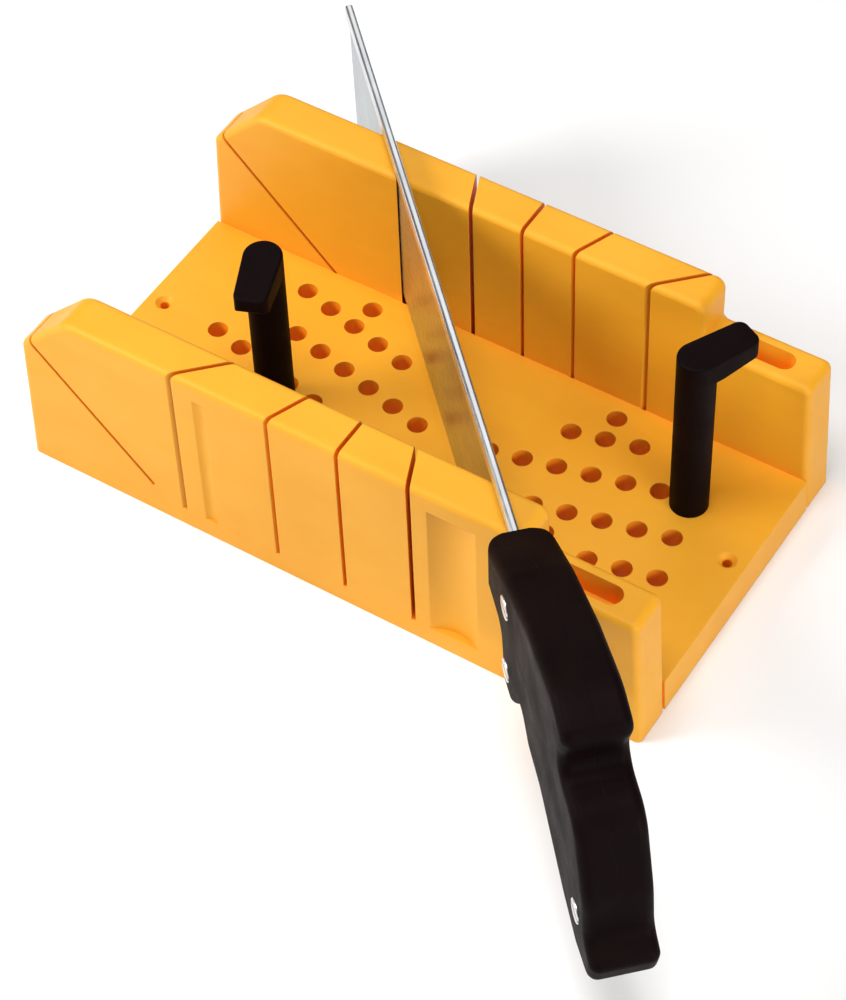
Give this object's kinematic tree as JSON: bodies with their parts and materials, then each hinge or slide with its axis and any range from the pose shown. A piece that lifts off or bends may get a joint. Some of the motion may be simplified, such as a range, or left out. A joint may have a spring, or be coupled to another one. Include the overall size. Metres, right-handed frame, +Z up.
{
  "type": "mitre box saw",
  "caption": "Moulded mitre box with upright and bevel saw slots, cam pegs standing in peg holes, and a back saw in its 45 degree slots.",
  "frame": {"origin": "middle of the box's bottom face, on the surface it stands on", "axes": "+X along the box towards its lowered end, +Y across it to the far wall, +Z up"},
  "size_m": [0.4464, 0.4121, 0.1746],
  "materials": {
    "box_plastic": "yellow moulded plastic, fine texture",
    "peg_plastic": "black moulded plastic",
    "handle_plastic": "black moulded plastic, fine texture",
    "blade_steel": "ground along its length",
    "back_steel": "bright folded steel",
    "bolt_steel": "bright steel"
  },
  "bodies": {
    "box": {"mitre_box": "box_plastic"},
    "saw": {"saw_blade": "blade_steel", "saw_back": "back_steel", "handle_left_shell": "handle_plastic", "handle_right_shell": "handle_plastic", "handle_bolts": "bolt_steel", "handle_nuts": "bolt_steel"},
    "peg_left": {"cam_peg_left": "peg_plastic"},
    "peg_right": {"cam_peg_right": "peg_plastic"}
  },
  "joints": [
    {"name": "saw_stroke", "type": "slide", "parent": "box", "child": "saw", "axis": [0.7071, -0.7071, 0], "range_m": [0, 0.11]},
    {"name": "peg_left_turn", "type": "hinge", "parent": "box", "child": "peg_left", "pos_m": [-0.0778, -0.0235, 0.0215], "axis": [0, 0, 1], "continuous": true},
    {"name": "peg_right_turn", "type": "hinge", "parent": "box", "child": "peg_right", "pos_m": [0.13768, 0.03384, 0.0215], "axis": [0, 0, 1], "continuous": true}
  ]
}
